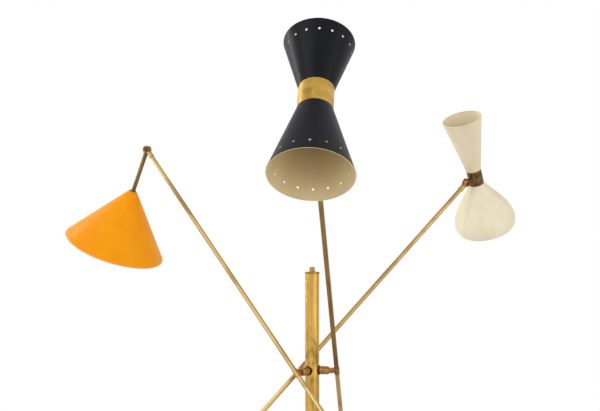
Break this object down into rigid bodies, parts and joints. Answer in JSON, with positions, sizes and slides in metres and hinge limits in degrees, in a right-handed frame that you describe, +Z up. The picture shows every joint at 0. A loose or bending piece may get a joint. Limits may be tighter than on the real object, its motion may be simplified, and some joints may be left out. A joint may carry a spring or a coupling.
{
  "type": "floor lamp",
  "caption": "Free-standing floor lamp: brass pole on a round marble base, crossed pivoting arms with counterweights, and swivelling cone, double-cone and bell shades on the arm ends.",
  "frame": {"origin": "on the floor, at the centre of the underside of the round base", "axes": "+Z up along the pole; -Y towards the camera of the picture; +X to its right"},
  "size_m": [1.0284, 0.9185, 1.8052],
  "materials": {
    "marble": "honed pale marble with grey veins",
    "felt": "dark green felt",
    "aged_brass": "brushed brass with streaky brown patina",
    "bright_brass": "polished brass",
    "dark_brass": "dark bronze patina",
    "copper_brown": "copper-brown patina",
    "zinc_steel": "zinc plated",
    "orange_enamel": "orange enamel on spun aluminium",
    "black_enamel": "satin black enamel on spun aluminium, pale inside",
    "cream_enamel": "cream enamel on spun aluminium",
    "phenolic": "black phenolic",
    "opal_bulb": "opal diffuser",
    "cable_sheath": "dark cable sheath"
  },
  "bodies": {
    "stand": {"base_felt_pad": "felt", "base_weight": "marble", "base_nut_and_washer": "zinc_steel", "foot_plug": "zinc_steel", "foot_collar": "aged_brass", "cord_gland": "phenolic", "pole_tube": "aged_brass", "pole_cable": "cable_sheath", "pole_cap": "aged_brass", "pole_finial": "aged_brass", "pivot_rings": "dark_brass", "pivot_posts": "copper_brown", "pivot_nuts": "zinc_steel", "pivot_grub_screws": "zinc_steel"},
    "orange_arm": {"orange_arm_spindle": "copper_brown", "orange_arm_tee": "aged_brass", "orange_upper_tube": "aged_brass", "orange_lower_tube": "aged_brass", "orange_arm_cable": "cable_sheath", "orange_counterweight": "aged_brass", "orange_end_ferrule": "aged_brass"},
    "orange_swivel": {"orange_swivel": "copper_brown", "orange_knuckle_screw": "copper_brown"},
    "black_arm": {"black_arm_spindle": "copper_brown", "black_arm_tee": "aged_brass", "black_upper_tube": "aged_brass", "black_lower_tube": "aged_brass", "black_arm_cable": "cable_sheath", "black_counterweight": "aged_brass", "black_end_ferrule": "aged_brass"},
    "black_swivel": {"black_swivel": "copper_brown", "black_knuckle_screw": "copper_brown"},
    "cream_arm": {"cream_arm_spindle": "copper_brown", "cream_arm_tee": "aged_brass", "cream_upper_tube": "aged_brass", "cream_lower_tube": "aged_brass", "cream_arm_cable": "cable_sheath", "cream_counterweight": "aged_brass", "cream_end_ferrule": "aged_brass"},
    "cream_swivel": {"cream_swivel": "copper_brown", "cream_knuckle_screw": "copper_brown"},
    "orange_head": {"orange_stem": "aged_brass", "orange_lock_nut": "aged_brass", "orange_shade": "orange_enamel", "orange_lampholder": "phenolic", "orange_bulb": "opal_bulb"},
    "black_head": {"black_stud": "copper_brown", "black_band": "bright_brass", "black_upper_shade": "black_enamel", "black_lower_shade": "black_enamel", "black_cross_bar": "zinc_steel", "black_lampholders": "phenolic", "black_bulbs": "opal_bulb"},
    "cream_head": {"cream_stud": "copper_brown", "cream_stud_nut": "zinc_steel", "cream_band": "dark_brass", "cream_upper_shade": "cream_enamel", "cream_lower_shade": "cream_enamel", "cream_lampholders": "phenolic", "cream_bulbs": "opal_bulb"}
  },
  "joints": [
    {"name": "orange_arm_pivot", "type": "hinge", "parent": "stand", "child": "orange_arm", "pos_m": [-0.03084, -0.03808, 1.19], "axis": [-0.6293, -0.7771, 0], "range_deg": [-18.8, 31.2]},
    {"name": "orange_swivel_turn", "type": "hinge", "parent": "orange_arm", "child": "orange_swivel", "pos_m": [-0.37133, 0.23764, 1.64687], "axis": [-0.5379, 0.4356, 0.7218], "range_deg": [-90, 90]},
    {"name": "orange_head_tilt", "type": "hinge", "parent": "orange_swivel", "child": "orange_head", "pos_m": [-0.37133, 0.23764, 1.64687], "axis": [-0.6094, -0.7925, 0.0242], "range_deg": [-171, 2]},
    {"name": "black_arm_pivot", "type": "hinge", "parent": "stand", "child": "black_arm", "pos_m": [0.0484, -0.00767, 1.19], "axis": [0.9877, -0.1564, 0], "range_deg": [-11.1, 38.9]},
    {"name": "black_swivel_turn", "type": "hinge", "parent": "black_arm", "child": "black_swivel", "pos_m": [-0.00414, -0.33937, 1.65055], "axis": [-0.0922, -0.5819, 0.808], "range_deg": [-90, 90]},
    {"name": "black_head_tilt", "type": "hinge", "parent": "black_swivel", "child": "black_head", "pos_m": [-0.00414, -0.33937, 1.65055], "axis": [0.8775, 0.3361, 0.3421], "range_deg": [-94.3, 45.7]},
    {"name": "cream_arm_pivot", "type": "hinge", "parent": "stand", "child": "cream_arm", "pos_m": [-0.01756, 0.04575, 1.19], "axis": [-0.3584, 0.9336, 0], "range_deg": [-20.5, 29.5]},
    {"name": "cream_swivel_turn", "type": "hinge", "parent": "cream_arm", "child": "cream_swivel", "pos_m": [0.34268, 0.18403, 1.56919], "axis": [0.6659, 0.2556, 0.7009], "range_deg": [-90, 90]},
    {"name": "cream_head_tilt", "type": "hinge", "parent": "cream_swivel", "child": "cream_head", "pos_m": [0.34268, 0.18403, 1.56919], "axis": [-0.6677, 0.6233, 0.4071], "range_deg": [-68.5, 31.5]}
  ]
}
